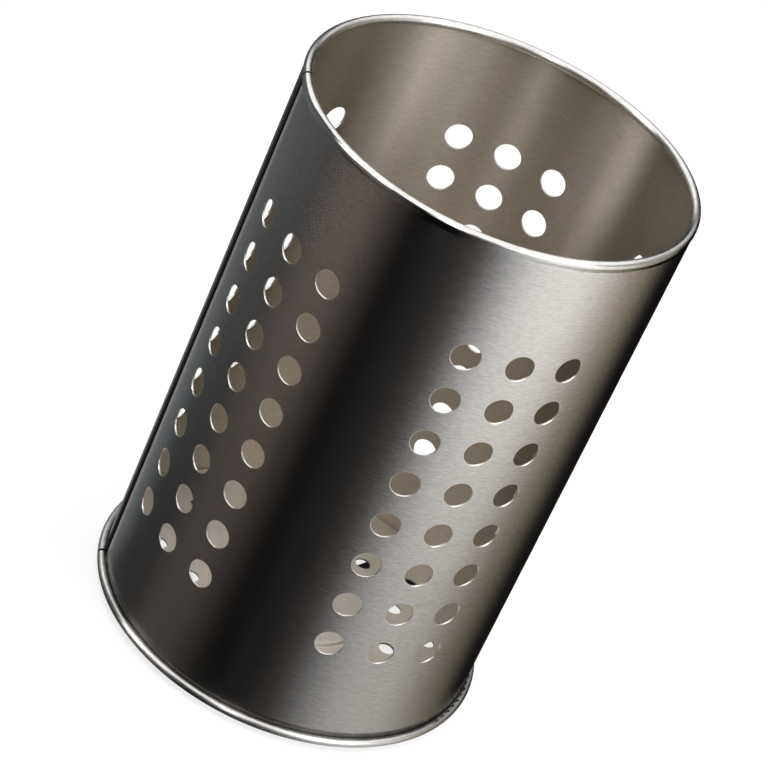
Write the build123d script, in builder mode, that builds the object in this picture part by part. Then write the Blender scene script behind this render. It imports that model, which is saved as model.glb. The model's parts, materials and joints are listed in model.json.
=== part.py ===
from build123d import *
import os
from math import acos, atan2, cos, degrees, radians, sin, sqrt, tan

# Rotating utensil holder: a perforated steel canister on a low ball-bearing turntable.
# Millimetres, +Z up. The origin is the centre of the table plane that the feet stand on.
# The canister turns about Z, the ball cage follows at half its rate and the base stands still.

# Gap all round a piece that sits in another of its own body
seat_gap = 0.05

# Canister: one perforated sheet rolled into a cylinder, with its two ends curled
wall_radius = 59.3
wall_sheet = 0.5
canister_height = 180.0
rim_curl = 1.43
rim_bulge = 0.3
rim_blend = 3.0
base_curl = 1.4
curl_gap = 0.3

# Perforation: groups of three columns of round holes
hole_diameter = 8.4
row_count = 8
row_pitch = 15.15
group_count = 5
group_angle = 73.0
columns_per_group = 3
column_angle = 15.55

# Lap seam, just past the -X side: the outer sheet ends there, over the joggled inner one
seam_angle = 182.6
seam_step = 0.35
seam_lap_width = 4.0
seam_joggle_width = 5.0
seam_end_gap = 0.45

# Floor of the canister: a pressed tray, upside down, with a raised middle
floor_height = 6.1
pan_sheet = 0.6
pan_bend = 0.5
pan_skirt = 4.6
platform_rise = 1.0
platform_slope_run = 1.0
drain_diameter = 5.0
drain_count = 10
drain_ring_inner = 33.5
drain_ring_outer = 44.0
drain_turn = 11.65

# Ball bearing
ball_diameter = 3.0
ball_count = 16
ball_circle = 14.5
groove_clearance = 0.05
race_sheet = 0.8
race_back_gap = 0.15
race_inner_land = 3.0
race_outer_land = 2.4
race_step_run = 0.9
race_flange_width = 5.0
land_gap = 0.8
cage_thickness = 0.8
cage_half_width = 2.6
pocket_clearance = 0.1

# Fixings of the two races
fixing_count = 4
fixing_clearance = 0.1
stud_diameter = 2.5
stud_point = 0.4
nut_across_flats = 5.0
nut_height = 1.6
rivet_diameter = 2.4
rivet_head_radius = 2.2
rivet_head_height = 0.8
rivet_tail_radius = 2.0
rivet_tail_height = 0.7

# Centre pivot
pivot_diameter = 5.0
pivot_head_radius = 4.5
pivot_head_height = 1.6
pivot_head_edge = 0.95
pivot_end_radius = 4.0
pivot_end_height = 0.8
running_clearance = 0.05
bush_sleeve_wall = 1.95
bush_sleeve_drop = 1.5
bush_flange_radius = 6.5
bush_flange_height = 0.7
thrust_washer_radius = 5.8
thrust_washer_height = 0.5
spring_washer_radius = 5.0
spring_washer_height = 0.5
spring_washer_slit = 0.8
backing_washer_radius = 5.5
backing_washer_height = 0.6
cap_wall = 0.9
cap_headroom = 0.6
cap_edge = 2.5

# Base: a stamped steel spider on four push-in rubber feet
spider_sheet = 1.0
spider_disc_margin = 1.2
spider_ring_width = 8.3
spider_lip_height = 2.5
spider_lip_sheet = 1.0
spider_wall_gap = 1.35
spoke_width = 10.0
spoke_count = 4
spoke_fillet = 3.0
foot_pad_height = 2.0
foot_pad_radius = 4.5
foot_pad_edge = 0.5
foot_neck_radius = 2.0
foot_head_radius = 3.0
foot_head_height = 1.6
foot_lip_gap = 0.6

# Heights above the table, stacked from the feet upwards
spider_top = foot_pad_height + spider_sheet
ball_radius = ball_diameter / 2
groove_radius = ball_radius + groove_clearance
race_reach = race_back_gap + race_sheet + groove_radius
ball_height = spider_top + race_reach
platform_underside = ball_height + race_reach
platform_top = platform_underside + pan_sheet
floor_top = platform_top - platform_rise
canister_base = floor_top - floor_height
canister_top = canister_base + canister_height
wall_middle = canister_base + canister_height / 2

# Radii that follow from the sizes above
wall_bore = wall_radius - wall_sheet
race_bore = ball_circle - race_inner_land
race_step_start = ball_circle + race_outer_land
race_flange_start = race_step_start + race_step_run
race_radius = race_flange_start + race_flange_width
fixing_circle = race_flange_start + race_flange_width / 2
platform_radius = race_radius + pan_sheet + platform_slope_run
pan_radius = wall_bore - seat_gap
pivot_radius = pivot_diameter / 2
bush_bore = pivot_radius + running_clearance
bush_sleeve_radius = bush_bore + bush_sleeve_wall
spider_disc_radius = race_radius + spider_disc_margin
spider_radius = pan_radius - pan_sheet - spider_wall_gap
spider_ring_bore = spider_radius - spider_ring_width
foot_circle = spider_radius - spider_lip_sheet - foot_lip_gap - foot_head_radius

os.makedirs("parts", exist_ok=True)


def finish(builder, name):
    """Label a finished piece and write it as a STEP file of that name."""
    builder.part.label = name
    export_step(builder.part, f"parts/{name}.step")


def upright_plane(angle):
    """Plane through the Z axis whose X direction points outwards at the angle, with Z up."""
    turn = radians(angle)
    return Plane(origin=(0, 0, 0), x_dir=(cos(turn), sin(turn), 0), z_dir=(sin(turn), -cos(turn), 0))


def outward_plane(angle, radius, height):
    """Plane square to the radius at the angle, facing outwards."""
    turn = radians(angle)
    outwards = Vector(cos(turn), sin(turn), 0)
    origin = outwards * radius + Vector(0, 0, height)
    return Plane(origin=origin, x_dir=(-sin(turn), cos(turn), 0), z_dir=outwards)


def on_circle(centre, radius, angle):
    """Point of a circle in the sketch's plane."""
    return (centre[0] + radius * cos(radians(angle)), centre[1] + radius * sin(radians(angle)))


# Canister wall, a single sheet: straight wall, inward curl at the rim, outward curl at the base
rim_centre = (wall_radius + rim_bulge - rim_curl, canister_top - rim_curl)
blend_reach = wall_radius + rim_blend - rim_centre[0]
blend_drop = sqrt((rim_curl + rim_blend) ** 2 - blend_reach**2)
blend_centre = (wall_radius + rim_blend, rim_centre[1] - blend_drop)
blend_angle = degrees(atan2(blend_drop, blend_reach))
rim_end_angle = 360 - degrees(acos((wall_bore - curl_gap - rim_centre[0]) / rim_curl))
base_centre = (wall_bore + base_curl, canister_base + base_curl)
base_end_angle = 360 + degrees(acos((wall_radius + curl_gap - base_centre[0]) / base_curl))

with BuildPart() as canister_wall:
    with BuildSketch(Plane.XZ):
        with BuildLine():
            Line((wall_radius, base_centre[1]), (wall_radius, blend_centre[1]))
            CenterArc(blend_centre, rim_blend, 180, -blend_angle)
            CenterArc(rim_centre, rim_curl, -blend_angle, rim_end_angle + blend_angle)
            Line(
                on_circle(rim_centre, rim_curl, rim_end_angle),
                on_circle(rim_centre, rim_curl - wall_sheet, rim_end_angle),
            )
            CenterArc(rim_centre, rim_curl - wall_sheet, -blend_angle, rim_end_angle + blend_angle)
            CenterArc(blend_centre, rim_blend + wall_sheet, 180, -blend_angle)
            Line((wall_bore, blend_centre[1]), (wall_bore, base_centre[1]))
            CenterArc(base_centre, base_curl, 180, base_end_angle - 180)
            Line(
                on_circle(base_centre, base_curl, base_end_angle),
                on_circle(base_centre, base_curl - wall_sheet, base_end_angle),
            )
            CenterArc(base_centre, base_curl - wall_sheet, 180, base_end_angle - 180)
        make_face()
    revolve(axis=Axis.Z)

    # Perforation, cut square to the wall
    hole_planes = []
    for group in range(group_count):
        group_turn = (group - (group_count - 1) / 2) * group_angle
        for column in range(columns_per_group):
            column_turn = (column - (columns_per_group - 1) / 2) * column_angle
            hole_planes.append(outward_plane(group_turn + column_turn, wall_bore - wall_sheet, wall_middle))
    with BuildSketch(*hole_planes):
        with GridLocations(1, row_pitch, 1, row_count):
            Circle(hole_diameter / 2)
    extrude(amount=3 * wall_sheet, mode=Mode.SUBTRACT)

    # Seam: the gap between the ends of each curl, the inner lap and the step down to its joggle
    base_bead_top = canister_base + 2 * base_curl
    base_bead_outside = base_centre[0] + 2 * base_curl
    base_groove = wall_radius + curl_gap / 2
    with BuildSketch(upright_plane(seam_angle)):
        with Locations((rim_centre[0], canister_top)):
            Rectangle(4 * rim_curl, 2 * (canister_top - blend_centre[1]))
        with BuildLine():
            Polyline(
                (wall_bore - curl_gap, canister_base - curl_gap),
                (base_bead_outside, canister_base - curl_gap),
                (base_bead_outside, base_bead_top + curl_gap),
                (base_groove, base_bead_top + curl_gap),
                (base_groove, canister_base + base_curl / 2),
                (wall_bore - curl_gap, canister_base + base_curl / 2),
                close=True,
            )
        make_face()
    extrude(amount=seam_end_gap / 2, both=True, mode=Mode.SUBTRACT)

    lap_end = seam_angle - degrees(seam_lap_width / wall_bore)
    joggle_end = seam_angle + degrees(seam_joggle_width / wall_bore)
    lap_top = blend_centre[1] - 2 * rim_curl
    sheet_middle = wall_radius - wall_sheet / 2
    with BuildSketch(Plane.XY.offset(platform_top)):
        with BuildLine():
            Polyline(
                on_circle((0, 0), sheet_middle, lap_end),
                on_circle((0, 0), wall_bore - wall_sheet, lap_end),
                on_circle((0, 0), wall_bore - wall_sheet, seam_angle),
                on_circle((0, 0), wall_bore, joggle_end),
                on_circle((0, 0), sheet_middle, joggle_end),
                on_circle((0, 0), sheet_middle, seam_angle),
                close=True,
            )
        make_face()
    extrude(amount=lap_top - platform_top)

    step_bottom = base_bead_top - curl_gap
    with BuildSketch(Plane.XY.offset(step_bottom)):
        with BuildLine():
            Polyline(
                on_circle((0, 0), base_groove, seam_angle),
                on_circle((0, 0), wall_radius - seam_step, seam_angle),
                on_circle((0, 0), wall_radius, joggle_end),
                on_circle((0, 0), base_groove, joggle_end),
                close=True,
            )
        make_face()
    extrude(amount=blend_centre[1] - step_bottom, mode=Mode.SUBTRACT)
finish(canister_wall, "canister_wall")

# Floor pan: the tray's skirt stands inside the wall and its raised middle covers the bearing
slope_turn = atan2(platform_rise, platform_slope_run)
slope_shift = pan_sheet * tan(slope_turn / 2)
outer_bend = pan_bend + pan_sheet
pan_hole_radius = bush_sleeve_radius + seat_gap

with BuildPart() as floor_pan:
    with BuildSketch(Plane.XZ):
        with BuildLine():
            FilletPolyline(
                (pan_hole_radius, platform_top),
                (platform_radius - platform_slope_run, platform_top),
                (platform_radius, floor_top),
                (pan_radius, floor_top),
                (pan_radius, floor_top - pan_skirt),
                (pan_radius - pan_sheet, floor_top - pan_skirt),
                (pan_radius - pan_sheet, floor_top - pan_sheet),
                (platform_radius - slope_shift, floor_top - pan_sheet),
                (platform_radius - platform_slope_run - slope_shift, platform_underside),
                (pan_hole_radius, platform_underside),
                radius=[0, outer_bend, pan_bend, outer_bend, 0, 0, pan_bend, outer_bend, pan_bend, 0],
                close=True,
            )
        make_face()
    revolve(axis=Axis.Z)
    with BuildSketch(Plane.XY.offset(floor_top - pan_sheet)):
        with PolarLocations(drain_ring_inner, drain_count, start_angle=drain_turn):
            Circle(drain_diameter / 2)
        with PolarLocations(drain_ring_outer, drain_count, start_angle=drain_turn + 180 / drain_count):
            Circle(drain_diameter / 2)
    extrude(amount=pan_sheet, mode=Mode.SUBTRACT)
finish(floor_pan, "floor_pan")

# Upper race: a stamped ring with a ball groove, its flange flat against the raised middle
land_face = ball_height + land_gap
land_back = land_face + race_sheet
groove_half_width = sqrt(groove_radius**2 - land_gap**2)
back_radius = groove_radius + race_sheet
back_half_width = sqrt(back_radius**2 - (land_gap + race_sheet) ** 2)
flange_face = platform_underside - race_sheet
step_shift = race_sheet / 2

with BuildPart() as upper_race:
    with BuildSketch(Plane.XZ):
        with BuildLine():
            Polyline(
                (ball_circle - back_half_width, land_back),
                (race_bore, land_back),
                (race_bore, land_face),
                (ball_circle - groove_half_width, land_face),
            )
            ThreePointArc(
                (ball_circle - groove_half_width, land_face),
                (ball_circle, ball_height + groove_radius),
                (ball_circle + groove_half_width, land_face),
            )
            Polyline(
                (ball_circle + groove_half_width, land_face),
                (race_step_start, land_face),
                (race_flange_start, flange_face),
                (race_radius, flange_face),
                (race_radius, platform_underside),
                (race_flange_start - step_shift, platform_underside),
                (race_step_start - step_shift, land_back),
                (ball_circle + back_half_width, land_back),
            )
            ThreePointArc(
                (ball_circle + back_half_width, land_back),
                (ball_circle, ball_height + back_radius),
                (ball_circle - back_half_width, land_back),
            )
        make_face()
    revolve(axis=Axis.Z)
    with BuildSketch(Plane.XY.offset(flange_face)):
        with PolarLocations(fixing_circle, fixing_count):
            Circle(stud_diameter / 2 + fixing_clearance)
    extrude(amount=race_sheet, mode=Mode.SUBTRACT)
finish(upper_race, "upper_race")

# Lower race: the same stamping turned over, its flange flat on the spider
with BuildPart() as lower_race:
    mirror(upper_race.part, about=Plane.XY.offset(ball_height))
finish(lower_race, "lower_race")

# Weld studs under the raised middle, through the upper race's flange
with BuildPart() as floor_studs:
    stud_length = race_sheet + nut_height + stud_point
    with BuildSketch(Plane.XY.offset(platform_underside - stud_length)):
        with PolarLocations(fixing_circle, fixing_count):
            Circle(stud_diameter / 2)
    extrude(amount=stud_length)
    chamfer(edges().group_by(Axis.Z)[0], stud_point / 2)
finish(floor_studs, "floor_studs")

# Thin nuts on the studs
with BuildPart() as stud_nuts:
    with BuildSketch(Plane.XY.offset(flange_face - nut_height)):
        with PolarLocations(fixing_circle, fixing_count):
            RegularPolygon(nut_across_flats / 2, 6, major_radius=False, rotation=30)
        with PolarLocations(fixing_circle, fixing_count):
            Circle(stud_diameter / 2 + fixing_clearance, mode=Mode.SUBTRACT)
    extrude(amount=nut_height)
finish(stud_nuts, "stud_nuts")

# Ball cage, a flat ring with a round pocket for each ball
with BuildPart() as ball_cage:
    with BuildSketch(Plane.XY.offset(ball_height - cage_thickness / 2)):
        Circle(ball_circle + cage_half_width)
        Circle(ball_circle - cage_half_width, mode=Mode.SUBTRACT)
        with PolarLocations(ball_circle, ball_count):
            Circle(ball_radius + pocket_clearance, mode=Mode.SUBTRACT)
    extrude(amount=cage_thickness)
finish(ball_cage, "ball_cage")

# Steel balls
with BuildPart(Plane.XY.offset(ball_height)) as bearing_balls:
    with PolarLocations(ball_circle, ball_count):
        Sphere(ball_radius)
finish(bearing_balls, "bearing_balls")

# Base spider: middle disc, spokes and an outer ring with a turned-up lip
foot_hole_radius = foot_neck_radius + seat_gap
with BuildPart() as base_spider:
    with BuildSketch(Plane.XY.offset(foot_pad_height)) as spider_outline:
        Circle(spider_radius)
        Circle(spider_ring_bore, mode=Mode.SUBTRACT)
        Circle(spider_disc_radius)
        spoke_reach = (spider_disc_radius + spider_ring_bore) / 2
        spoke_length = spider_ring_bore - spider_disc_radius + spider_ring_width
        with PolarLocations(spoke_reach, spoke_count, start_angle=180 / spoke_count):
            Rectangle(spoke_length, spoke_width)
        windows = spider_outline.face().inner_wires()
        window_corners = [corner for window in windows for corner in window.vertices()]
        fillet(window_corners, spoke_fillet)
    extrude(amount=spider_sheet)
    with BuildSketch(Plane.XY.offset(foot_pad_height)):
        Circle(spider_radius)
        Circle(spider_radius - spider_lip_sheet, mode=Mode.SUBTRACT)
    extrude(amount=spider_sheet + spider_lip_height)
    with BuildSketch(Plane.XY.offset(foot_pad_height)):
        Circle(pivot_radius + seat_gap)
        with PolarLocations(fixing_circle, fixing_count):
            Circle(rivet_diameter / 2 + fixing_clearance)
        with PolarLocations(foot_circle, spoke_count, start_angle=180 / spoke_count):
            Circle(foot_hole_radius)
    extrude(amount=spider_sheet, mode=Mode.SUBTRACT)
finish(base_spider, "base_spider")

# Rivets that hold the lower race on the spider
with BuildPart() as lower_race_rivets:
    with BuildSketch(Plane.XY.offset(foot_pad_height - rivet_tail_height)):
        with PolarLocations(fixing_circle, fixing_count):
            Circle(rivet_tail_radius)
    extrude(amount=rivet_tail_height)
    fillet(edges().group_by(Axis.Z)[0], rivet_tail_height / 2)
    with BuildSketch(Plane.XY.offset(foot_pad_height)):
        with PolarLocations(fixing_circle, fixing_count):
            Circle(rivet_diameter / 2)
    extrude(amount=spider_sheet + race_sheet)
    with BuildSketch(Plane.XY.offset(spider_top + race_sheet)):
        with PolarLocations(fixing_circle, fixing_count):
            Circle(rivet_head_radius)
    extrude(amount=rivet_head_height)
    fillet(edges().group_by(Axis.Z)[-1], rivet_head_height / 2)
finish(lower_race_rivets, "lower_race_rivets")

# Nylon bush in the middle of the floor pan, flange on top
bush_flange_top = platform_top + bush_flange_height
with BuildPart() as pivot_bush:
    with BuildSketch(Plane.XY.offset(platform_underside - bush_sleeve_drop)):
        Circle(bush_sleeve_radius)
        Circle(bush_bore, mode=Mode.SUBTRACT)
    extrude(amount=bush_sleeve_drop + pan_sheet + bush_flange_height)
    with BuildSketch(Plane.XY.offset(platform_top)):
        Circle(bush_flange_radius)
        Circle(bush_bore, mode=Mode.SUBTRACT)
    extrude(amount=bush_flange_height)
finish(pivot_bush, "pivot_bush")

# Washers between the bush and the pivot's head
thrust_washer_bottom = bush_flange_top + running_clearance
spring_washer_bottom = thrust_washer_bottom + thrust_washer_height
pivot_head_bottom = spring_washer_bottom + spring_washer_height
washer_bore = pivot_radius + fixing_clearance
with BuildPart() as thrust_washer:
    with BuildSketch(Plane.XY.offset(thrust_washer_bottom)):
        Circle(thrust_washer_radius)
        Circle(washer_bore, mode=Mode.SUBTRACT)
    extrude(amount=thrust_washer_height)
finish(thrust_washer, "thrust_washer")

with BuildPart() as spring_washer:
    with BuildSketch(Plane.XY.offset(spring_washer_bottom)):
        Circle(spring_washer_radius)
        Circle(washer_bore, mode=Mode.SUBTRACT)
        with Locations((spring_washer_radius, 0)):
            Rectangle(2 * spring_washer_radius, spring_washer_slit, mode=Mode.SUBTRACT)
    extrude(amount=spring_washer_height)
finish(spring_washer, "spring_washer")

# Backing washer under the spider, and the pivot rivet that closes the stack
backing_washer_bottom = foot_pad_height - backing_washer_height
with BuildPart() as backing_washer:
    with BuildSketch(Plane.XY.offset(backing_washer_bottom)):
        Circle(backing_washer_radius)
        Circle(washer_bore, mode=Mode.SUBTRACT)
    extrude(amount=backing_washer_height)
finish(backing_washer, "backing_washer")

pivot_end_bottom = backing_washer_bottom - pivot_end_height
with BuildPart() as pivot_rivet:
    with BuildSketch(Plane.XY.offset(pivot_end_bottom)):
        Circle(pivot_end_radius)
    extrude(amount=pivot_end_height)
    fillet(edges().group_by(Axis.Z)[0], pivot_end_height / 2)
    with BuildSketch(Plane.XY.offset(backing_washer_bottom)):
        Circle(pivot_radius)
    extrude(amount=pivot_head_bottom - backing_washer_bottom)
    with BuildSketch(Plane.XY.offset(pivot_head_bottom)):
        Circle(pivot_head_radius)
    extrude(amount=pivot_head_height)
    fillet(edges().group_by(Axis.Z)[-1], pivot_head_edge)
finish(pivot_rivet, "pivot_rivet")

# Domed cap over the pivot's head, snapped round the bush's flange
cap_radius = bush_flange_radius + seat_gap + cap_wall
cap_top = pivot_head_bottom + pivot_head_height + cap_headroom + cap_wall
with BuildPart() as pivot_cap:
    with BuildSketch(Plane.XY.offset(platform_top)):
        Circle(cap_radius)
    extrude(amount=cap_top - platform_top)
    fillet(edges().group_by(Axis.Z)[-1], cap_edge)
    offset(amount=-cap_wall, openings=faces().sort_by(Axis.Z)[0])
finish(pivot_cap, "pivot_cap")

# Rubber feet: pad under the ring, neck through it and a head that holds it in
for number in range(spoke_count):
    turn = radians((number + 0.5) * 360 / spoke_count)
    centre = (foot_circle * cos(turn), foot_circle * sin(turn))
    with BuildPart() as foot_pad:
        with BuildSketch(Plane.XY):
            with Locations(centre):
                Circle(foot_pad_radius)
        extrude(amount=foot_pad_height)
        fillet(edges().group_by(Axis.Z)[0], foot_pad_edge)
        with BuildSketch(Plane.XY.offset(foot_pad_height)):
            with Locations(centre):
                Circle(foot_neck_radius)
        extrude(amount=spider_sheet)
        with BuildSketch(Plane.XY.offset(spider_top)):
            with Locations(centre):
                Circle(foot_head_radius)
        extrude(amount=foot_head_height)
        chamfer(edges().group_by(Axis.Z)[-1], foot_head_height / 2)
    finish(foot_pad, f"foot_pad_{number + 1}")
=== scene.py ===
import json
import math
import bmesh
import bpy
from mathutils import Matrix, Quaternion, Vector


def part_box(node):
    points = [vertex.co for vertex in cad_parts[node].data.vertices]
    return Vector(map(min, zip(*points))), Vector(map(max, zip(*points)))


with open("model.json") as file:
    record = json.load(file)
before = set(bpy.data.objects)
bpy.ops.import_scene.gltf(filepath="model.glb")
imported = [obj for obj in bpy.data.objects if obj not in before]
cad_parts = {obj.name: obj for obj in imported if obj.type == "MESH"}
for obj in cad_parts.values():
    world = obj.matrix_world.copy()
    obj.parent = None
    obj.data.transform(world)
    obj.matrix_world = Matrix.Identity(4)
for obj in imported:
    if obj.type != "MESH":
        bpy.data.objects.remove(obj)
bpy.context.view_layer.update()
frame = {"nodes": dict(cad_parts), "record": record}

# Camera, fitted to the photograph
CAMERA_PLACE = Vector((-0.18525, -0.76113, 0.58171))
CAMERA_AIM = Vector((-0.001564, 0.000377, 0.089995))
CAMERA_ROLL = math.radians(24.781)
CAMERA_LENS = 147.66
SENSOR_WIDTH = 36.0
NEAREST_SEEN = 0.01
FARTHEST_SEEN = 50.0

# Table and room: white to the eye, plain grey in the light that they give back
TABLE_HALF_WIDTH = 4.0
TABLE_GREY = 0.25
TABLE_GLOW = 0.8
ROOM_LIGHT = 0.35

# Lamps: place, aim and width in metres, power in watts
SOFTBOXES = {
    "top_softbox": ((0, 0, 1.2), (0, 0, 0), 1.0, 12),
    "right_softbox": ((0.9, -0.7, 0.7), (0, 0, 0.09), 0.8, 8),
}

# Tent that only shiny surfaces see. Azimuths in degrees, from the camera's side.
# Each panel is upright and soft: azimuth, half width, soft edge, strength, strength at the holder's foot,
# height of its top, colour
TENT_RADIUS = 2.0
TENT_SIDES = 48
TENT_RINGS = 24
TENT_DARK = 0.004
CAMERA_SIDE = math.degrees(math.atan2(CAMERA_PLACE.y, CAMERA_PLACE.x))
PANELS = {
    "right_window": (61, 30, 40, 0.81, 0.32, 24, (0.93, 1.0, 1.1)),
    "right_wall": (81, 40, 46, 0.5, 0.24, 16, (1.07, 0.96, 0.78)),
    "right_corner": (22, 14, 28, 0.11, 0.06, 24, (1.05, 0.97, 0.92)),
    "left_wall": (-122, 36, 34, 0.12, 0.04, 16, (0.95, 1.0, 1.05)),
    "left_lamp": (-60, 20, 36, 0.15, 0.06, 16, (1.13, 0.95, 0.87)),
    "left_corner": (-150, 24, 34, 0.0, 0.16, 4, (0.88, 1.0, 1.12)),
}
PANEL_TOP_SOFT = 6.0

# Overhead softbox: strength, the height of its soft edge in degrees above the horizon,
# and how much higher that edge is in a band behind the holder
OVERHEAD_STRENGTH = 1.5
OVERHEAD_EDGE = (14, 28)
BEHIND = (180, 18, 30)
BEHIND_RISE = 14.0

# Folds of the overhead cloth, below a height: azimuth, half width, soft edge, how many times as bright
FOLDS = (
    (-98, 14, 8, 0.06),
    (-74, 8, 8, 3.6),
    (-30, 14, 10, 0.06),
    (-5, 4, 5, 2.4),
    (14, 9, 8, 0.3),
    (54, 16, 22, 3.0),
    (118, 40, 16, 0.3),
)
FOLD_TOP = (38, 50)

# Cloth on the table, dimmer at the holder's foot than further out: a painted shadow of the holder, seen only
# in the steel's reflections
CLOTH_RADIUS = 1.9
CLOTH_SIDES = 64
CLOTH_LIFT = 0.0002
CLOTH_DIM_TO = 0.06
CLOTH_BRIGHT_FROM = 0.42

# Places on the canister, in metres, from the frame
PAN_TO_SHEET_MIDDLE = 0.0003
WALL_FOOT, WALL_TOP = (painted_corner_shade.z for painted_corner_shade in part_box("canister_wall"))
SHEET_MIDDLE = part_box("floor_pan")[1].x + PAN_TO_SHEET_MIDDLE
SHEET_MIDDLE_SOFT = 0.0001
BEAD_HEIGHT = 0.0029
UPPER_BEAD_SOFT = 0.0006
LOWER_BEAD_SOFT = 0.0003
CURL_CREST = 0.0602
HOLE_LIP = 0.00045

# Soft borders on the wall, each from nothing to full. The plain wall: distance from both ends.
# The painted shade where the wall meets the lower curl: height above the wall's foot, and reach past the
# curl's crest.
# Holes' cut edges, and the round wall: cosine between the surface's normal and straight outwards.
PLAIN_BORDER = (0.006, 0.008)
CORNER_SHADE_HEIGHT = (0.0048, 0.0041)
CORNER_SHADE_REACH = (0.0007, 0.0002)
CUT_FACING = (0.7, 0.4)
ROUND_FACING = (0.98, 0.995)

# Lap seam of the wall in degrees: the outer sheet's edge, the strip behind it painted near black as shade,
# the gap of the curls' ends, also painted dark as shade, the strip before it painted pale as a highlight,
# and their soft borders
SEAM = 182.6
SEAM_SHADE = 4.2
SEAM_GAP = 0.6
SEAM_HIGHLIGHT = 7.0
SEAM_SHADE_SOFT = 0.3
SEAM_EDGE_SOFT = 0.25
SEAM_HIGHLIGHT_SOFT = 0.4

# Wall: grinding lines per metre, size of its clouds, depth of its grain, and colours of its parts
WALL_LINES = (450, 450, 2900)
WALL_CLOUDS = 0.03
WALL_GRAIN = 0.000005
OUTSIDE_COLOUR = (0.57, 0.545, 0.515, 1)
INSIDE_COLOUR = (0.59, 0.535, 0.46, 1)
CUT_COLOUR = (0.9, 0.88, 0.84, 1)
BEAD_COLOUR = (0.67, 0.655, 0.63, 1)
# Pale pink, painted as a highlight on the strip before the lap seam's edge
SEAM_HIGHLIGHT_COLOUR = (0.82, 0.7, 0.64, 1)
# Near black, painted as shade in the lap seam and in the gap of the curls' ends
SEAM_SHADOW_COLOUR = (0.01, 0.01, 0.01, 1)

# Other surfaces: size of the clouds, width of the worn edges and depth of the relief, in metres
PRESSED_CLOUDS = 0.018
PRESSED_EDGES = 0.0004
PRESSED_RELIEF = 0.000004
PLATED_EDGES = 0.0002
PLATED_RELIEF = 0.000006
MOULDED_EDGES = 0.0003
MOULDED_RELIEF = 0.00001

# Levels of noise at which a mark begins and is full, how many scratches come to a line and rubs to a cloud,
# and how far the rounded normal of a worn edge turns away, as a cosine
SOFT_MARKS = (0.3, 0.7)
SCRATCH_MARKS = (0.64, 0.72)
RUB_MARKS = (0.58, 0.74)
SCRATCHES_PER_LINE = 0.35
RUBS_PER_CLOUD = 9.0
EDGE_TURN = (0.995, 0.9)

# Sockets of a Mix node by its type of data: first, second, result
MIX_SOCKETS = {"VECTOR": (4, 5, 1), "RGBA": (6, 7, 2)}
NUMBER = "NodeSocketFloat"


def add_node(tree, kind, values=(), **settings):
    """A shader node with its settings and the values of its input sockets."""
    made = tree.nodes.new(kind)
    for key, value in settings.items():
        setattr(made, key, value)
    for key, value in dict(values).items():
        made.inputs[key].default_value = value
    return made


def link(tree, *pairs):
    """Join output sockets to input sockets."""
    for source, target in pairs:
        tree.links.new(source, target)


def feed(tree, socket, value):
    """Give an input socket a link or a plain value."""
    if isinstance(value, bpy.types.NodeSocket):
        tree.links.new(value, socket)
    else:
        socket.default_value = value


def sum_of(tree, operation, *values):
    """A Math node on sockets or numbers; returns its output."""
    made = add_node(tree, "ShaderNodeMath", operation=operation)
    for socket, value in zip(made.inputs, values):
        feed(tree, socket, value)
    return made.outputs[0]


def vector_of(tree, operation, *values):
    """A Vector Math node on sockets or vectors; returns its vector, or its number where it makes one."""
    made = add_node(tree, "ShaderNodeVectorMath", operation=operation)
    for socket, value in zip(made.inputs, values):
        feed(tree, socket, value)
    return made.outputs["Value" if operation in ("LENGTH", "DOT_PRODUCT") else "Vector"]


def shade(tree, colour, tone):
    """A colour or another vector times a number."""
    made = add_node(tree, "ShaderNodeVectorMath", operation="SCALE")
    feed(tree, made.inputs[0], colour)
    feed(tree, made.inputs["Scale"], tone)
    return made.outputs[0]


def mix_of(tree, *weighted):
    """Sum of values, each with its weight."""
    total = 0.0
    for value, weight in weighted:
        total = sum_of(tree, "MULTIPLY_ADD", value, weight, total)
    return total


def ramp(tree, value, start, end, low=0.0, high=1.0):
    """Smooth change from low to high while a value goes from start to end."""
    ends = {"From Min": start, "From Max": end, "To Min": low, "To Max": high}
    made = add_node(tree, "ShaderNodeMapRange", ends, interpolation_type="SMOOTHSTEP")
    feed(tree, made.inputs["Value"], value)
    return made.outputs["Result"]


def outside_of(tree, value, mask):
    """A value where a mask is 0, and nothing where it is 1."""
    return sum_of(tree, "MULTIPLY", value, sum_of(tree, "SUBTRACT", 1.0, mask))


def blend(tree, mask, first, second, data="RGBA"):
    """First value where the mask is 0 and second where it is 1."""
    made = add_node(tree, "ShaderNodeMix", data_type=data)
    first_socket, second_socket, result = MIX_SOCKETS[data]
    feed(tree, made.inputs["Factor"], mask)
    feed(tree, made.inputs[first_socket], first)
    feed(tree, made.inputs[second_socket], second)
    return made.outputs[result]


def angles(*degrees):
    """Degrees as radians."""
    return [math.radians(angle) for angle in degrees]


def short_way(tree, angle):
    """The same angle between half a turn back and half a turn on."""
    return sum_of(tree, "WRAP", angle, math.pi, -math.pi)


def turn_from(tree, x, y, start):
    """Azimuth of a place, from a start in degrees."""
    azimuth = sum_of(tree, "ARCTAN2", y, x)
    return short_way(tree, sum_of(tree, "SUBTRACT", azimuth, math.radians(start)))


def aimed(place, aim):
    """Rotation of a camera or lamp at a place that looks at another."""
    return (Vector(aim) - Vector(place)).to_track_quat("-Z", "Y")


def camera():
    """The photograph's camera, rolled so that the holder leans to the right."""
    data = bpy.data.cameras.new("camera")
    data.lens = CAMERA_LENS
    data.sensor_width = SENSOR_WIDTH
    data.clip_start = NEAREST_SEEN
    data.clip_end = FARTHEST_SEEN
    made = bpy.data.objects.new("camera", data)
    bpy.context.collection.objects.link(made)
    made.rotation_mode = "QUATERNION"
    made.rotation_quaternion = aimed(CAMERA_PLACE, CAMERA_AIM) @ Quaternion((0, 0, 1), CAMERA_ROLL)
    made.location = CAMERA_PLACE
    bpy.context.scene.camera = made


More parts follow.
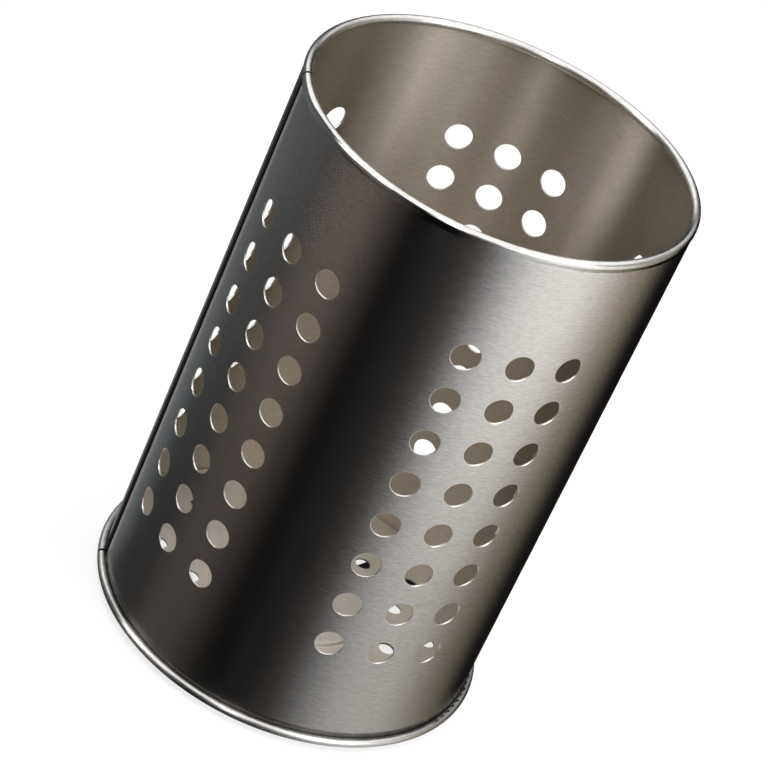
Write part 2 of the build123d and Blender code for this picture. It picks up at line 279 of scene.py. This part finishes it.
def seen_or_mirrored(tree):
    """1 for rays from the camera and for rays that metal or glass sends on, 0 for soft light."""
    path = add_node(tree, "ShaderNodeLightPath")
    seen = sum_of(tree, "MAXIMUM", path.outputs["Is Camera Ray"], path.outputs["Is Glossy Ray"])
    return sum_of(tree, "MAXIMUM", seen, path.outputs["Is Transmission Ray"])


def bare_material(name):
    """A material with only an output node."""
    made = bpy.data.materials.new(name)
    made.use_nodes = True
    made.node_tree.nodes.clear()
    return made, made.node_tree, add_node(made.node_tree, "ShaderNodeOutputMaterial")


def table_paint():
    """Matt grey that also shows white where it is seen or mirrored, and keeps the holder's shadow."""
    made, tree, out = bare_material("table_paint")
    matt = add_node(tree, "ShaderNodeBsdfDiffuse", {"Color": (TABLE_GREY, TABLE_GREY, TABLE_GREY, 1)})
    glow = add_node(tree, "ShaderNodeEmission")
    both = add_node(tree, "ShaderNodeAddShader")
    link(
        tree,
        (sum_of(tree, "MULTIPLY", seen_or_mirrored(tree), TABLE_GLOW), glow.inputs["Strength"]),
        (matt.outputs[0], both.inputs[0]),
        (glow.outputs[0], both.inputs[1]),
        (both.outputs[0], out.inputs["Surface"]),
    )
    return made


def fanned_turn(tree, turn, reach):
    """The turn to which the round wall sends a ray that ends on the table, found in two steps.

    With it the wall mirrors the table cloth's panels as upright bands.
    """
    nearness = sum_of(tree, "DIVIDE", SHEET_MIDDLE, reach)
    fanned = turn
    for _ in range(2):
        half = sum_of(tree, "MULTIPLY", fanned, 0.5)
        offset = sum_of(tree, "MULTIPLY", sum_of(tree, "SINE", half), nearness)
        bent = sum_of(tree, "ARCSINE", sum_of(tree, "MINIMUM", offset, 1.0))
        fanned = sum_of(tree, "ADD", turn, bent)
    return fanned


def upright_band(tree, turn, middle, half, soft, strength=1.0):
    """Strength within a range of azimuths, with soft edges."""
    away = short_way(tree, sum_of(tree, "SUBTRACT", turn, math.radians(middle)))
    away = sum_of(tree, "ABSOLUTE", away)
    return ramp(tree, away, *angles(half + soft / 2, half - soft / 2), 0.0, strength)


def overhead(tree, height, turn):
    """Strength of the overhead softbox by height above the horizon."""
    rise = upright_band(tree, turn, *BEHIND, math.radians(BEHIND_RISE))
    edge = sum_of(tree, "SUBTRACT", height, rise)
    light = ramp(tree, edge, *angles(*OVERHEAD_EDGE), 0.0, OVERHEAD_STRENGTH)
    below = ramp(tree, height, *angles(*FOLD_TOP), 1.0, 0.0)
    for middle, half, soft, times in FOLDS:
        change = sum_of(tree, "MULTIPLY", upright_band(tree, turn, middle, half, soft, times - 1.0), below)
        light = sum_of(tree, "MULTIPLY", light, sum_of(tree, "ADD", 1.0, change))
    return light


def tent_cloth(name, on_table):
    """Upright light panels with soft edges on dark cloth, with an overhead softbox or a dim middle."""
    made, tree, out = bare_material(name)
    glow = add_node(tree, "ShaderNodeEmission")
    place = add_node(tree, "ShaderNodeTexCoord").outputs["Object"]
    parts = add_node(tree, "ShaderNodeSeparateXYZ")
    link(tree, (place, parts.inputs[0]), (glow.outputs[0], out.inputs["Surface"]))
    x, y, z = parts.outputs
    turn = turn_from(tree, x, y, CAMERA_SIDE)
    squares = [sum_of(tree, "POWER", part, 2.0) for part in (x, y)]
    reach = sum_of(tree, "SQRT", sum_of(tree, "ADD", *squares))
    if on_table:
        turn = fanned_turn(tree, turn, reach)
        base = TENT_DARK
    else:
        height = sum_of(tree, "ARCTAN2", z, reach)
        base = sum_of(tree, "ADD", overhead(tree, height, turn), TENT_DARK)
    total = shade(tree, (1.0, 1.0, 1.0), base)
    for middle, half, soft, strength, at_foot, top, colour in PANELS.values():
        if on_table:
            # Panels dimmer at the holder's foot: a painted shadow of the holder on the cloth
            level = ramp(tree, reach, CLOTH_DIM_TO, CLOTH_BRIGHT_FROM, at_foot, strength)
        else:
            level = ramp(tree, height, *angles(top + PANEL_TOP_SOFT, top), 0.0, strength)
        level = sum_of(tree, "MULTIPLY", upright_band(tree, turn, middle, half, soft), level)
        total = vector_of(tree, "ADD", total, shade(tree, colour, level))
    link(tree, (total, glow.inputs["Color"]))
    return made


def stage_piece(name, shape, paint, only_mirrored=False):
    """A piece of the studio. A mirrored one lights nothing and only shiny surfaces see it."""
    mesh = bpy.data.meshes.new(name)
    shape.to_mesh(mesh)
    shape.free()
    mesh.materials.append(paint)
    made = bpy.data.objects.new(name, mesh)
    bpy.context.collection.objects.link(made)
    if only_mirrored:
        made.visible_camera = False
        made.visible_diffuse = False
        made.visible_transmission = False
        made.visible_volume_scatter = False
        made.visible_shadow = False


def softbox(name, place, aim, width, power):
    """A soft square lamp that points at a place. Mirrors don't show it."""
    data = bpy.data.lights.new(name, "AREA")
    data.shape = "SQUARE"
    data.size = width
    data.energy = power
    made = bpy.data.objects.new(name, data)
    bpy.context.collection.objects.link(made)
    made.location = place
    made.rotation_mode = "QUATERNION"
    made.rotation_quaternion = aimed(place, aim)
    made.visible_glossy = False


def room():
    """White surroundings where they are seen or mirrored, and a dim even light elsewhere."""
    world = bpy.data.worlds.new("room")
    bpy.context.scene.world = world
    world.use_nodes = True
    tree = world.node_tree
    level = ramp(tree, seen_or_mirrored(tree), 0.0, 1.0, ROOM_LIGHT, 1.0)
    back = tree.nodes["Background"]
    back.inputs["Color"].default_value = (1, 1, 1, 1)
    link(tree, (level, back.inputs["Strength"]))


def studio():
    """Table, room, soft lamps, and the tent and table cloth that the steel mirrors."""
    shape = bmesh.new()
    bmesh.ops.create_grid(shape, x_segments=1, y_segments=1, size=TABLE_HALF_WIDTH)
    stage_piece("table", shape, table_paint())

    shape = bmesh.new()
    bmesh.ops.create_uvsphere(shape, u_segments=TENT_SIDES, v_segments=TENT_RINGS, radius=TENT_RADIUS)
    bmesh.ops.reverse_faces(shape, faces=shape.faces)
    stage_piece("tent", shape, tent_cloth("tent_cloth", on_table=False), only_mirrored=True)

    shape = bmesh.new()
    bmesh.ops.create_circle(shape, cap_ends=True, segments=CLOTH_SIDES, radius=CLOTH_RADIUS)
    bmesh.ops.translate(shape, verts=shape.verts, vec=(0, 0, CLOTH_LIFT))
    stage_piece("table_cloth", shape, tent_cloth("table_cloth", on_table=True), only_mirrored=True)

    room()
    for name, lamp in SOFTBOXES.items():
        softbox(name, *lamp)


def effect(name, inputs, outputs):
    """An empty node group with named inputs and outputs."""
    group = bpy.data.node_groups.new(name, "ShaderNodeTree")
    for label, kind, value in inputs:
        group.interface.new_socket(label, in_out="INPUT", socket_type=kind).default_value = value
    for label, kind in outputs:
        group.interface.new_socket(label, in_out="OUTPUT", socket_type=kind)
    return group, group.nodes.new("NodeGroupInput").outputs, group.nodes.new("NodeGroupOutput").inputs


def noise(tree, place, scale, detail=2.0, roughness=0.5):
    """Grey noise on a position."""
    made = add_node(tree, "ShaderNodeTexNoise", {"Detail": detail, "Roughness": roughness})
    feed(tree, made.inputs["Vector"], place)
    feed(tree, made.inputs["Scale"], scale)
    return made.outputs["Fac"]


def grinding_lines():
    """Fine lines of a grinding belt. Stretch is the number of lines per metre along each axis."""
    tree, given, put = effect(
        "grinding_lines",
        [("Stretch", "NodeSocketVector", (30, 30, 2500))],
        [("Lines", NUMBER), ("Scratches", NUMBER)],
    )
    place = add_node(tree, "ShaderNodeTexCoord").outputs["Object"]
    drawn = vector_of(tree, "MULTIPLY", place, given["Stretch"])
    lines = noise(tree, drawn, 1.0, detail=4.0, roughness=0.65)
    deep = noise(tree, drawn, SCRATCHES_PER_LINE, detail=1.0)
    link(
        tree,
        (ramp(tree, lines, *SOFT_MARKS), put["Lines"]),
        (ramp(tree, deep, *SCRATCH_MARKS), put["Scratches"]),
    )
    return tree


def handling():
    """Uneven tone of used metal or plastic: broad clouds, and small rubbed spots."""
    tree, given, put = effect("handling", [("Size", NUMBER, 0.02)], [("Clouds", NUMBER), ("Rubs", NUMBER)])
    place = add_node(tree, "ShaderNodeTexCoord").outputs["Object"]
    per_metre = sum_of(tree, "DIVIDE", 1.0, given["Size"])
    rubs_per_metre = sum_of(tree, "MULTIPLY", per_metre, RUBS_PER_CLOUD)
    clouds = noise(tree, place, per_metre, detail=3.0)
    rubs = noise(tree, place, rubs_per_metre, detail=4.0, roughness=0.6)
    link(tree, (ramp(tree, clouds, *SOFT_MARKS), put["Clouds"]), (ramp(tree, rubs, *RUB_MARKS), put["Rubs"]))
    return tree


def worn_edges():
    """1 on sharp outer and inner edges within a width, 0 on plain faces."""
    tree, given, put = effect("worn_edges", [("Width", NUMBER, 0.0003)], [("Edge", NUMBER)])
    rounded = add_node(tree, "ShaderNodeBevel", samples=4)
    flat = add_node(tree, "ShaderNodeNewGeometry").outputs["Normal"]
    alike = vector_of(tree, "DOT_PRODUCT", rounded.outputs[0], flat)
    link(tree, (given["Width"], rounded.inputs["Radius"]), (ramp(tree, alike, *EDGE_TURN), put["Edge"]))
    return tree


EFFECTS = {"lines": grinding_lines(), "handling": handling(), "edges": worn_edges()}


def use(tree, name, values):
    """One of the shared effects with this material's own values."""
    made = tree.nodes.new("ShaderNodeGroup")
    made.node_tree = EFFECTS[name]
    for key, value in values.items():
        made.inputs[key].default_value = value
    return made.outputs


def new_finish(name, metallic=0.0, **sockets):
    """A material with its shader, whose plain values stay on the shader's own sockets."""
    made = bpy.data.materials.new(name)
    made.use_nodes = True
    shader = made.node_tree.nodes["Principled BSDF"]
    shader.inputs["Metallic"].default_value = metallic
    for key, value in sockets.items():
        shader.inputs[key.replace("_", " ").title()].default_value = value
    return made, made.node_tree, shader.inputs


def cover(tree, shader, colour, rough):
    """Give the shader its colour and roughness."""
    link(tree, (colour, shader["Base Color"]), (rough, shader["Roughness"]))


def relief(tree, shader, height, depth, normal=None):
    """Surface relief of a depth in metres on the mesh's normal, or on a given one."""
    bump = add_node(tree, "ShaderNodeBump", {"Distance": depth})
    link(tree, (height, bump.inputs["Height"]), (bump.outputs[0], shader["Normal"]))
    if normal is not None:
        link(tree, (normal, bump.inputs["Normal"]))


def round_normal(tree, outward, side, edge, radius):
    """Normal of a truly round wall, without the mesh's facets, and of rounded edges where edge is 1."""
    turned = add_node(
        tree, "ShaderNodeVectorTransform",
        vector_type="NORMAL", convert_from="OBJECT", convert_to="WORLD",
    )
    rounded = add_node(tree, "ShaderNodeBevel", samples=8)
    link(tree, (shade(tree, outward, side), turned.inputs[0]), (radius, rounded.inputs["Radius"]))
    both = blend(tree, edge, turned.outputs[0], rounded.outputs[0], data="VECTOR")
    return vector_of(tree, "NORMALIZE", both)


def lap_seam(tree, x, y, bead):
    """Masks of the lap seam: painted shade on the strip behind its edge, narrow on the curls, and a painted
    highlight on the strip before its edge.
    """
    turn = turn_from(tree, x, y, SEAM)
    near = ramp(tree, turn, math.radians(SEAM_EDGE_SOFT), 0.0)
    strip, gap = (
        sum_of(tree, "MULTIPLY", near, ramp(tree, turn, *angles(-width - SEAM_SHADE_SOFT, -width)))
        for width in (SEAM_SHADE, SEAM_GAP)
    )
    spared = sum_of(tree, "MULTIPLY", bead, sum_of(tree, "SUBTRACT", strip, gap))
    dark = sum_of(tree, "SUBTRACT", strip, spared)
    # Painted highlight: a pale strip on the wall just before the seam's edge
    rub_and_highlight_mask = ramp(tree, turn, *angles(SEAM_HIGHLIGHT, SEAM_HIGHLIGHT / 2))
    wear_and_highlight = sum_of(tree, "MULTIPLY", ramp(tree, turn, *angles(0.0, SEAM_HIGHLIGHT_SOFT)), rub_and_highlight_mask)
    return dark, outside_of(tree, wear_and_highlight, bead)


def wall_ends(tree, height, reach):
    """Masks of the wall's ends: upper curl, lower curl, the painted shade where the wall meets the lower
    curl, and the rest.
    """
    upper_bead = ramp(tree, height, WALL_TOP - BEAD_HEIGHT - UPPER_BEAD_SOFT, WALL_TOP - BEAD_HEIGHT)
    lower_bead = ramp(tree, height, WALL_FOOT + BEAD_HEIGHT + LOWER_BEAD_SOFT, WALL_FOOT + BEAD_HEIGHT)
    painted_corner_shade = sum_of(
        tree, "MULTIPLY",
        ramp(tree, height, *(WALL_FOOT + border for border in CORNER_SHADE_HEIGHT)),
        ramp(tree, reach, *(CURL_CREST + border for border in CORNER_SHADE_REACH)),
    )
    plain = sum_of(
        tree, "MULTIPLY",
        ramp(tree, height, *(WALL_TOP - border for border in PLAIN_BORDER)),
        ramp(tree, height, *(WALL_FOOT + border for border in PLAIN_BORDER)),
    )
    return upper_bead, lower_bead, painted_corner_shade, plain


def brushed_sheet():
    """Wall: sheet ground round its girth, with both curls polished and the holes' cut edges bright."""
    made, tree, shader = new_finish(
        "brushed_sheet", metallic=1.0, anisotropic=1.0, anisotropic_rotation=0.25
    )
    girth = add_node(tree, "ShaderNodeTangent", direction_type="RADIAL", axis="Z")
    coords = add_node(tree, "ShaderNodeTexCoord").outputs
    parts = add_node(tree, "ShaderNodeSeparateXYZ")
    link(tree, (girth.outputs[0], shader["Tangent"]), (coords["Object"], parts.inputs[0]))
    x, y, height = parts.outputs
    outward = vector_of(tree, "MULTIPLY", coords["Object"], (1, 1, 0))
    reach = vector_of(tree, "LENGTH", outward)
    faced = vector_of(tree, "DOT_PRODUCT", outward, coords["Normal"])
    facing = sum_of(tree, "ABSOLUTE", sum_of(tree, "DIVIDE", faced, reach))

    inside = ramp(tree, reach, SHEET_MIDDLE + SHEET_MIDDLE_SOFT, SHEET_MIDDLE - SHEET_MIDDLE_SOFT)
    upper_bead, lower_bead, painted_corner_shade, plain = wall_ends(tree, height, reach)
    bead = sum_of(tree, "MAXIMUM", upper_bead, lower_bead)
    cut = outside_of(tree, ramp(tree, facing, *CUT_FACING), bead)
    lip = sum_of(tree, "MULTIPLY", use(tree, "edges", {"Width": HOLE_LIP})["Edge"], plain)
    painted_seam_shadow, wear_and_highlight = lap_seam(tree, x, y, bead)

    lines = use(tree, "lines", {"Stretch": WALL_LINES})
    marks = use(tree, "handling", {"Size": WALL_CLOUDS})
    # The tone also darkens the wall just over the lower curl: painted shade
    tone = mix_of(
        tree, (1.0, 0.89), (lines["Lines"], 0.2), (lines["Scratches"], -0.06), (marks["Clouds"], 0.03),
        (painted_corner_shade, -0.62),
    )
    colour = blend(tree, inside, OUTSIDE_COLOUR, INSIDE_COLOUR)
    colour = blend(tree, sum_of(tree, "MAXIMUM", lip, cut), colour, CUT_COLOUR)
    colour = blend(tree, bead, colour, BEAD_COLOUR)
    # Painted highlight on the strip before the seam's edge
    colour = blend(tree, wear_and_highlight, colour, SEAM_HIGHLIGHT_COLOUR)
    # Painted shade: near black on the strip behind the seam's edge and in the curls' gap
    colour = blend(tree, painted_seam_shadow, colour, SEAM_SHADOW_COLOUR)
    rough = mix_of(
        tree, (1.0, 0.15), (inside, 0.15), (upper_bead, -0.09), (lower_bead, 0.08), (painted_seam_shadow, 0.6),
        (wear_and_highlight, 0.12), (lines["Lines"], 0.02),
    )
    cover(tree, shader, shade(tree, colour, tone), rough)

    straight = sum_of(tree, "MULTIPLY", plain, ramp(tree, facing, *ROUND_FACING))
    edge = sum_of(tree, "MAXIMUM", lip, sum_of(tree, "SUBTRACT", 1.0, straight))
    lip_radius = sum_of(tree, "MULTIPLY", plain, HOLE_LIP)
    normal = round_normal(tree, outward, sum_of(tree, "SIGN", faced), edge, lip_radius)
    relief(tree, shader, outside_of(tree, lines["Lines"], bead), WALL_GRAIN, normal)
    return made


def pressed_sheet(name, colour, roughness, stretch, metallic=1.0):
    """Pressed steel with straight mill lines, darker clouds and edges rubbed bright."""
    made, tree, shader = new_finish(name, metallic)
    lines = use(tree, "lines", {"Stretch": stretch})
    marks = use(tree, "handling", {"Size": PRESSED_CLOUDS})
    edge = use(tree, "edges", {"Width": PRESSED_EDGES})["Edge"]
    tone = mix_of(
        tree, (1.0, 0.9), (lines["Lines"], 0.1), (marks["Clouds"], 0.08), (marks["Rubs"], -0.08),
        (edge, 0.15),
    )
    rough = mix_of(tree, (1.0, roughness), (lines["Lines"], 0.05), (marks["Rubs"], 0.08), (edge, -0.06))
    cover(tree, shader, shade(tree, colour, tone), rough)
    relief(tree, shader, lines["Lines"], PRESSED_RELIEF)
    return made


def plated_steel(name, colour, roughness, cloud):
    """Polished, zinc or nickel plated steel: cloudy tone, small rubs and bright edges."""
    made, tree, shader = new_finish(name, metallic=1.0)
    marks = use(tree, "handling", {"Size": cloud})
    edge = use(tree, "edges", {"Width": PLATED_EDGES})["Edge"]
    tone = mix_of(tree, (1.0, 0.88), (marks["Clouds"], 0.14), (marks["Rubs"], -0.1), (edge, 0.2))
    rough = mix_of(tree, (1.0, roughness), (marks["Clouds"], 0.06), (marks["Rubs"], 0.12), (edge, -0.05))
    cover(tree, shader, shade(tree, colour, tone), rough)
    relief(tree, shader, marks["Rubs"], PLATED_RELIEF)
    return made


def moulded_plastic(name, colour, roughness, cloud, wear_and_highlight):
    """Moulded nylon or rubber: matt skin with a fine texture, paler where it is rubbed."""
    made, tree, shader = new_finish(name)
    marks = use(tree, "handling", {"Size": cloud})
    edge = use(tree, "edges", {"Width": MOULDED_EDGES})["Edge"]
    rub_and_highlight_mask = mix_of(tree, (marks["Rubs"], 0.25), (edge, 0.3), (marks["Clouds"], 0.1))
    rough = mix_of(tree, (1.0, roughness), (marks["Rubs"], 0.1), (edge, -0.08))
    cover(tree, shader, blend(tree, rub_and_highlight_mask, (*colour, 1), (*wear_and_highlight, 1)), rough)
    relief(tree, shader, marks["Rubs"], MOULDED_RELIEF)
    return made


def dress(finishes):
    """Give each CAD node the finish of its material slot."""
    for row in frame["record"]["subparts"]:
        for slot in frame["nodes"][row["node"]].material_slots:
            slot.material = finishes[row["material_slot"]]


bpy.context.scene.view_settings.view_transform = "Standard"
camera()
studio()
dress({
    "brushed_sheet": brushed_sheet(),
    "floor_sheet": pressed_sheet("floor_sheet", (0.8, 0.77, 0.72), 0.45, (2200, 30, 30), 0.92),
    "race_steel": pressed_sheet("race_steel", (0.52, 0.52, 0.52), 0.36, (30, 1500, 30)),
    "base_steel": pressed_sheet("base_steel", (0.5, 0.5, 0.49), 0.38, (30, 1800, 30)),
    "polished_steel": plated_steel("polished_steel", (0.64, 0.64, 0.64), 0.12, 0.02),
    "zinc_steel": plated_steel("zinc_steel", (0.56, 0.57, 0.56), 0.34, 0.006),
    "ball_steel": plated_steel("ball_steel", (0.66, 0.66, 0.66), 0.1, 0.004),
    "nylon": moulded_plastic("nylon", (0.72, 0.71, 0.66), 0.5, 0.008, (0.8, 0.79, 0.75)),
    "cage_plastic": moulded_plastic("cage_plastic", (0.03, 0.03, 0.03), 0.45, 0.008, (0.1, 0.1, 0.1)),
    "rubber": moulded_plastic("rubber", (0.02, 0.02, 0.02), 0.75, 0.006, (0.07, 0.07, 0.068)),
})
